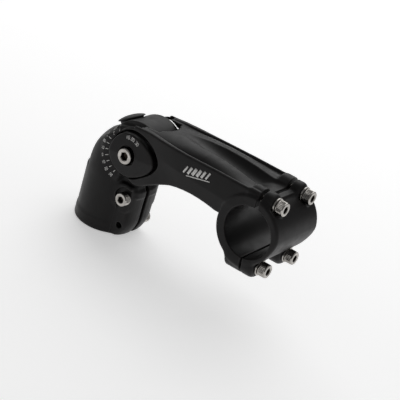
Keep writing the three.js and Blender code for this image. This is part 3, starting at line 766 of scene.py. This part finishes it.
def mottled(tree, source, dark, light):
    """A colour that wanders between two with a noise."""
    return blend_colour(tree, ramp(tree, source, 0.3, 0.7, 0, 1), dark, light)


def black_anodised():
    """Blasted, black-anodised forging: fine grain, faint handling marks, edges rubbed a little lighter."""
    material, tree, shader, place = fresh_material("black_anodised_aluminium")
    grain = noise(tree, place, 4200, 2.0)
    mottle = noise(tree, place, 160, 4.0)
    cloud = noise(tree, place, 28, 3.0)
    edge = tree.nodes.new("ShaderNodeAttribute")
    edge.attribute_name = "edge"
    on_edge = ramp(tree, edge.outputs["Fac"], 0.15, 0.75, 0, 1)
    rubbed = maths(tree, "MULTIPLY", on_edge, ramp(tree, mottle, 0.35, 0.7, 0.25, 1))
    base = mottled(tree, cloud, (0.0050, 0.0046, 0.0047), (0.0085, 0.0078, 0.0079))
    base = blend_colour(tree, ramp(tree, grain, 0.35, 0.75, 0, 0.5), base, (0.014, 0.013, 0.013))
    base = blend_colour(tree, maths(tree, "MULTIPLY", rubbed, 0.35), base, (0.050, 0.048, 0.047))
    tree.links.new(base, shader.inputs["Base Color"])
    uneven = ramp(tree, grain, 0.3, 0.7, -0.03, 0.04)
    rough = maths(tree, "ADD", ramp(tree, mottle, 0.3, 0.7, 0.36, 0.47), uneven)
    rough = maths(tree, "SUBTRACT", rough, maths(tree, "MULTIPLY", rubbed, 0.08))
    tree.links.new(rough, shader.inputs["Roughness"])
    shader.inputs["Specular IOR Level"].default_value = 0.19
    bump(tree, shader, [(mottle, 0.10, 0.0002), (grain, 0.22, 0.00006)])
    return material


def plated_steel():
    """Bright plated screws: slightly brushed, with painted shade in their sockets, which are coloured dark
    brown and made rougher.
    """
    material, tree, shader, place = fresh_material("bright_plated_steel")
    streak = noise(tree, place, 900, 3.0)
    patch = noise(tree, place, 260, 3.0)
    # Painted shade: the socket's marked rings are coloured dark brown and made rougher, standing in for the
    # shadow in the recess.
    socket_shade = tree.nodes.new("ShaderNodeAttribute")
    socket_shade.attribute_name = "socket_shade"
    base = mottled(tree, patch, (0.30, 0.285, 0.265), (0.50, 0.48, 0.455))
    base = blend_colour(tree, socket_shade.outputs["Fac"], base, (0.085, 0.070, 0.055))
    tree.links.new(base, shader.inputs["Base Color"])
    shader.inputs["Metallic"].default_value = 1.0
    dull = maths(tree, "MULTIPLY", socket_shade.outputs["Fac"], 0.3)
    rough = maths(tree, "ADD", ramp(tree, streak, 0.3, 0.75, 0.10, 0.24), dull)
    tree.links.new(rough, shader.inputs["Roughness"])
    bump(tree, shader, [(streak, 0.12, 0.00005)])
    return material


def grained_metal(name, scale, detail, dark, light, rough_from, rough_to):
    """Bare metal with a fine grain."""
    material, tree, shader, place = fresh_material(name)
    grain = noise(tree, place, scale, detail)
    tree.links.new(mottled(tree, grain, dark, light), shader.inputs["Base Color"])
    shader.inputs["Metallic"].default_value = 1.0
    tree.links.new(ramp(tree, grain, 0.3, 0.7, rough_from, rough_to), shader.inputs["Roughness"])
    bump(tree, shader, [(grain, 0.15, 0.00006)])
    return material


def moulded_plastic():
    """Matte moulded plastic with a fine spark-eroded texture."""
    material, tree, shader, place = fresh_material("black_moulded_plastic")
    grain = noise(tree, place, 2600, 3.0)
    cloud = noise(tree, place, 90, 3.0)
    base = mottled(tree, cloud, (0.007, 0.007, 0.0075), (0.013, 0.0125, 0.013))
    tree.links.new(base, shader.inputs["Base Color"])
    tree.links.new(ramp(tree, grain, 0.3, 0.7, 0.46, 0.62), shader.inputs["Roughness"])
    shader.inputs["Specular IOR Level"].default_value = 0.4
    bump(tree, shader, [(grain, 0.3, 0.00008)])
    return material


def white_ink():
    """Pad-printed marks: chalky white, a little thin in places."""
    material, tree, shader, place = fresh_material("white_print")
    wear = noise(tree, place, 1500, 4.0)
    base = blend_colour(tree, ramp(tree, wear, 0.3, 0.62, 0, 1), (0.46, 0.45, 0.44), (0.84, 0.83, 0.81))
    tree.links.new(base, shader.inputs["Base Color"])
    tree.links.new(ramp(tree, wear, 0.3, 0.7, 0.45, 0.6), shader.inputs["Roughness"])
    bump(tree, shader, [(wear, 0.2, 0.00003)])
    return material


STEEL_DARK, STEEL_LIGHT = (0.22, 0.22, 0.23), (0.36, 0.355, 0.35)
BRONZE_DARK, BRONZE_LIGHT = (0.36, 0.21, 0.085), (0.52, 0.34, 0.15)
LOOKS = {
    "black_aluminium": black_anodised(),
    "bright_steel": plated_steel(),
    "dull_steel": grained_metal("dull_steel", 1400, 4.0, STEEL_DARK, STEEL_LIGHT, 0.32, 0.5),
    "bush_bronze": grained_metal("bearing_bronze", 1800, 3.0, BRONZE_DARK, BRONZE_LIGHT, 0.28, 0.45),
    "black_plastic": moulded_plastic(),
}
INK = white_ink()
BODY_OF = {node: body for body, nodes in frame["record"]["behaviour"]["bodies"].items() for node in nodes}
SLOT_OF = {row["node"]: row["material_slot"] for row in frame["record"]["subparts"]}


def place(piece, node):
    """The piece stands for a CAD node: it rides on the node's body and takes its slot's look."""
    piece.data.materials.append(LOOKS[SLOT_OF[node]])
    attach(piece, BODY_OF[node])
    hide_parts(node)
    return piece


def node_box(node, margin=1.0):
    """A node's box in millimetres, widened by a margin."""
    low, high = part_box(node)
    return [v / MM - margin for v in low], [v / MM + margin for v in high]


# ---- Build the pieces ------------------------------------------------------------------------------------
for node, field, pitch in (
    ("steerer_clamp", steerer_clamp, NET),
    ("arm", arm, NET),
    ("faceplate", faceplate, NET),
    ("pivot_plate_right", pivot_plate, FINE_NET),
    ("pivot_plate_left", lambda x, y, z: pivot_plate(x, -y, z), FINE_NET),
):
    place(forging(node + "_forging", field, *node_box(node), pitch), node)

WASHER_R, WASHER_THICK = 4.9, 0.9
BUSH_FIT = 0.35            # play between a screw and what sits on it
FACE_SCREW_LENGTH = 18
PIVOT_SCREW_END = 21.8     # beyond the middle plane
NUT_FLATS, NUT_THICK = 10, 4.6
SLEEVE_R, SLEEVE_HALF = 5.0, 9.4
INDEX_IN, INDEX_OUT = 6.8, 10.5
INDEX_TIPS, INDEX_ROOT, INDEX_BACK, INDEX_TEETH = 10.15, 10.65, 11.9, 24
UNDER_HEAD = EAR_AHEAD + CLEAR + WASHER_THICK + CLEAR
for level in ("upper", "lower"):
    for hand in ("right", "left"):
        point, axis = joint_place(f"face_{level}_{hand}_turn")
        seat = Vector(point) + (EAR_AHEAD + CLEAR) * axis
        name = f"faceplate_washer_{level}_{hand}"
        washer = pipe(name + "_ring", M5_R + BUSH_FIT, WASHER_R, 0, WASHER_THICK, 0.16)
        place(stand(washer, seat, axis), name)
        name = f"faceplate_bolt_{level}_{hand}"
        screw = cap_screw(name + "_screw", FACE_SCREW_LENGTH, M5_R, M5_HEAD_R, M5_HEAD_H, M5_HEX, M5_PITCH)
        place(stand(screw, Vector(point) + UNDER_HEAD * axis, axis), name)

for level, recess in (("upper", 0), ("lower", LOWER_HEAD_RECESS)):
    point, axis = joint_place(f"pinch_{level}_turn")
    length = 2 * EAR_HALF - 1 - 2 * recess
    name = f"pinch_bolt_{level}"
    screw = cap_screw(name + "_screw", length, M5_R, M5_HEAD_R, M5_HEAD_H, M5_HEX, M5_PITCH)
    place(stand(screw, Vector(point) + (EAR_HALF + CLEAR - recess) * axis, axis), name)

PIVOT = Vector((PIVOT_X, 0, PIVOT_Z))
RIGHT, LEFT = Vector((0, -1, 0)), Vector((0, 1, 0))
HEAD_SEAT = COUNTERBORE + CLEAR
length = HEAD_SEAT + PIVOT_SCREW_END
screw = cap_screw("pivot_bolt_screw", length, M6_R, M6_HEAD_R, M6_HEAD_H, M6_HEX, M6_PITCH)
place(stand(screw, PIVOT + HEAD_SEAT * RIGHT, RIGHT), "pivot_bolt")
nut = hex_nut("pivot_nut_hexagon", NUT_FLATS, M6_R + BUSH_FIT, HEAD_SEAT, HEAD_SEAT + NUT_THICK)
place(stand(nut, PIVOT, LEFT), "pivot_nut")
bush = pipe("pivot_sleeve_bush", M6_R + BUSH_FIT, SLEEVE_R, -SLEEVE_HALF, SLEEVE_HALF, 0.25)
place(stand(bush, PIVOT, LEFT), "pivot_sleeve")
for hand, axis in (("right", RIGHT), ("left", LEFT)):
    name = f"index_ring_{hand}_teeth"
    ring = toothed_ring(name, INDEX_IN, INDEX_OUT, INDEX_TIPS, INDEX_ROOT, INDEX_BACK, INDEX_TEETH)
    place(stand(ring, PIVOT, axis), f"index_ring_{hand}")
place(stand(plug("access_plug_lid"), (PLUG_X, 0, PLUG_Z), PLUG_AXIS), "access_plug")

# ---- Prints ----------------------------------------------------------------------------------------------
INK_OUT, INK_IN = 0.05, 0.12
SIDE_FAR, SIDE_NEAR = 26, 8
DIGIT_STEP = 1.55          # from one digit to the next, in digit widths
DIGITS = {                 # strokes on a grid one wide and two high
    "0": [(0, 0), (0, 2), (1, 2), (1, 0), (0, 0)],
    "1": [(0.5, 0), (0.5, 2)],
    "2": [(0, 2), (1, 2), (1, 1), (0, 1), (0, 0), (1, 0)],
    "3": [(0, 2), (1, 2), (1, 1), (0.2, 1), (1, 1), (1, 0), (0, 0)],
    "4": [(0, 2), (0, 1), (1, 1), (1, 2), (1, 0)],
}


def side_surface(field, points, hand):
    """Distances from the middle plane at which a field's side is met, or None if a point is beyond it."""
    x, z = np.array(points, float).T
    reach = np.arange(SIDE_FAR, SIDE_NEAR, -0.05)[:, None]
    solid = field(x[None, :], hand * reach, z[None, :]) < 0
    return reach[np.argmax(solid, axis=0), 0] if solid.any(axis=0).all() else None


def strip(path, width):
    """Pairs of points on both sides of a path."""
    path = np.array(path, float)
    ahead = np.gradient(path, axis=0)
    ahead /= np.linalg.norm(ahead, axis=1)[:, None]
    out = np.stack([-ahead[:, 1], ahead[:, 0]], 1) * width / 2
    return np.stack([path + out, path - out], 1)


def line(start, end, width, steps=2):
    """A straight strip."""
    return strip(np.linspace(start, end, steps), width)


def digit_strips(text, centre, turn, height, width=0.32, flip=1):
    """A number drawn as single strokes, centred on a point, turned by degrees, and mirrored if flip is -1."""
    c, s = math.cos(math.radians(turn)), math.sin(math.radians(turn))
    out = []
    for k, digit in enumerate(text):
        for start, end in zip(DIGITS[digit], DIGITS[digit][1:]):
            ends = []
            for px, pz in (start, end):
                lx = flip * (px + DIGIT_STEP * (k - (len(text) - 1) / 2) - 0.5) * height / 2
                lz = (pz - 1) * height / 2
                ends.append((centre[0] + lx * c - lz * s, centre[1] + lx * s + lz * c))
            out.append(line(*ends, width))
    return out


def print_on(name, strips, field, hand, body):
    """Raised ink: each strip follows the side of a field, and one that runs beyond it is left out."""
    points, faces = [], []
    for pairs in strips:
        flat = pairs.reshape(-1, 2)
        reach = side_surface(field, flat, hand)
        if reach is None:
            continue
        first = len(points)
        for offset in (INK_OUT, -INK_IN):
            points += [(x, hand * (r + offset), z) for (x, z), r in zip(flat, reach)]
        n, back = len(pairs), len(flat)
        for k in range(n - 1):
            a, b, c, d = (first + 2 * k + m for m in (0, 1, 3, 2))
            faces += [(a, b, c, d), (d + back, c + back, b + back, a + back)]
            faces += [(b, b + back, c + back, c), (d, d + back, a + back, a)]
        for a, b in ((first, first + 1), (first + back - 1, first + back - 2)):
            faces.append((a, a + back, b + back, b))
    piece = put_mesh(name, points, faces)
    piece.data.materials.append(INK)
    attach(piece, body)


def polar_point(radius, angle):
    """A point in X and Z about the tilt axis."""
    a = math.radians(angle)
    return PIVOT_X + radius * math.cos(a), PIVOT_Z + radius * math.sin(a)


SCALE_FROM, SCALE_STEP = 144.0, 12.5
SCALE_TEXT = ["40", "40", "30", "20", "10", "0", "10", "20", "30"]
TICK_FROM, TICK_TO, TICK_WIDTH = 15.9, 18.0, 0.38
SCALE_TEXT_R, SCALE_TEXT_TALL, SCALE_STROKE = 20.4, 1.6, 0.26
for hand, side in (("right", -1), ("left", 1)):
    scale = []
    for k, text in enumerate(SCALE_TEXT):
        angle = SCALE_FROM + k * SCALE_STEP
        scale.append(line(polar_point(TICK_FROM, angle), polar_point(TICK_TO, angle), TICK_WIDTH, 4))
        centre = polar_point(SCALE_TEXT_R, angle)
        scale += digit_strips(text, centre, angle - 180, SCALE_TEXT_TALL, SCALE_STROKE, -side)
    print_on(f"tilt_scale_{hand}", scale, steerer_clamp, side, BODY_OF["steerer_clamp"])

PLATE_TEXT = ["10", "20", "30"]
PLATE_TEXT_FROM, PLATE_TEXT_STEP, PLATE_TEXT_R, PLATE_TEXT_TALL = 105, 19, 11.4, 1.9
for hand, side in (("right", -1), ("left", 1)):
    plate_marks = []
    for k, text in enumerate(PLATE_TEXT):
        angle = PLATE_TEXT_FROM - PLATE_TEXT_STEP * k
        centre = polar_point(PLATE_TEXT_R, angle)
        plate_marks += digit_strips(text, centre, angle - 90, PLATE_TEXT_TALL, flip=-side)
    print_on(
        f"plate_numbers_{hand}", plate_marks, lambda x, y, z, flip=side: pivot_plate(x, -flip * y, z), side,
        BODY_OF[f"pivot_plate_{hand}"],
    )

MARK_START, MARK_END = (60.2, 72.8), (75.6, 76.4)
BARS, BAR_TALL, BAR_SLANT = 6, 4.6, 0.8
BAR_WIDE, BAR_TAPER = 2.1, 1.0
UNDERLINE_START, UNDERLINE_END, UNDERLINE_WIDTH = (61.8, 69.7), (78.0, 73.9), 0.55
bars = []
for k in range(BARS):
    t = k / (BARS - 1)
    x, z = (a + (b - a) * t for a, b in zip(MARK_START, MARK_END))
    foot, top = (x - BAR_SLANT, z - BAR_TALL / 2), (x + BAR_SLANT, z + BAR_TALL / 2)
    bars.append(line(foot, top, BAR_WIDE - BAR_TAPER * abs(2 * t - 1), 4))
bars.append(line(UNDERLINE_START, UNDERLINE_END, UNDERLINE_WIDTH, 12))
for hand, side in (("right", -1), ("left", 1)):
    print_on(f"side_bars_{hand}", bars, arm, side, BODY_OF["arm"])

# ---- Camera, floor and light -----------------------------------------------------------------------------
CAMERA_AZ, CAMERA_EL, CAMERA_ROLL = (math.radians(a) for a in (29.85, 27.13, 17.44))
CAMERA_DISTANCE = 0.74947                 # m
CAMERA_LENS, CAMERA_SENSOR = 112.68, 36.0 # mm
CAMERA_TARGET = Vector((0.0632, 0.0, 0.04793))


LIGHTS = (                                # name, place in m, size in m, power in W
    ("rear_softbox", (-0.55, 0.95, 0.8), (1.7, 0.9), 7),
    ("overhead_softbox", (0.1, 0.5, 1.3), (1.4, 1.0), 4),
    ("left_softbox", (-0.8, -0.5, 0.55), (0.5, 0.8), 0.15),
    ("right_softbox", (0.95, 0.2, 0.45), (0.5, 0.6), 0.3),
)
FLOOR_REACH, FLOOR_DROP = 6.0, 0.0005     # m
FLOOR_WHITE, FLOOR_GLOW, SKY = 0.9, 0.44, 0.20


def make_camera():
    """The photo's view, with the camera rolled as it was."""
    data = bpy.data.cameras.new("camera")
    data.lens = CAMERA_LENS
    data.sensor_width = CAMERA_SENSOR
    data.clip_start, data.clip_end = 0.01, 50.0
    camera = bpy.data.objects.new("camera", data)
    bpy.context.scene.collection.objects.link(camera)
    back = Vector((
        math.sin(CAMERA_AZ) * math.cos(CAMERA_EL),
        -math.cos(CAMERA_AZ) * math.cos(CAMERA_EL),
        math.sin(CAMERA_EL),
    ))
    level = Vector((math.cos(CAMERA_AZ), math.sin(CAMERA_AZ), 0))
    upward = back.cross(level)
    right = math.cos(CAMERA_ROLL) * level + math.sin(CAMERA_ROLL) * upward
    up = -math.sin(CAMERA_ROLL) * level + math.cos(CAMERA_ROLL) * upward
    turn = Matrix((right, up, back)).transposed().to_4x4()
    camera.matrix_world = Matrix.Translation(CAMERA_TARGET + CAMERA_DISTANCE * back) @ turn
    bpy.context.scene.camera = camera


def area_light(name, place_m, size, power):
    """A rectangular softbox aimed at the object."""
    data = bpy.data.lights.new(name, "AREA")
    data.shape = "RECTANGLE"
    data.size, data.size_y = size
    data.energy = power
    light = bpy.data.objects.new(name, data)
    light.location = place_m
    light.rotation_euler = (CAMERA_TARGET - Vector(place_m)).to_track_quat("-Z", "Y").to_euler()
    bpy.context.scene.collection.objects.link(light)


def make_stage():
    """Pale floor, even sky and softboxes."""
    mesh = bpy.data.meshes.new("floor")
    r = FLOOR_REACH
    mesh.from_pydata([(-r, -r, 0), (r, -r, 0), (r, r, 0), (-r, r, 0)], [], [(0, 1, 2, 3)])
    floor = bpy.data.objects.new("floor", mesh)
    floor.location.z = CAD_BOX[0].z - FLOOR_DROP
    bpy.context.scene.collection.objects.link(floor)
    material, _, shader, _ = fresh_material("floor_white")
    shader.inputs["Base Color"].default_value = (FLOOR_WHITE, FLOOR_WHITE, FLOOR_WHITE, 1)
    shader.inputs["Roughness"].default_value = 0.9
    shader.inputs["Emission Color"].default_value = (1, 1, 1, 1)
    shader.inputs["Emission Strength"].default_value = FLOOR_GLOW
    mesh.materials.append(material)
    world = bpy.data.worlds.new("studio")
    world.use_nodes = True
    sky = world.node_tree.nodes["Background"]
    sky.inputs[0].default_value = (1, 1, 1, 1)
    sky.inputs[1].default_value = SKY
    bpy.context.scene.world = world
    for row in LIGHTS:
        area_light(*row)
    bpy.context.scene.view_settings.view_transform = "Standard"


make_camera()
make_stage()
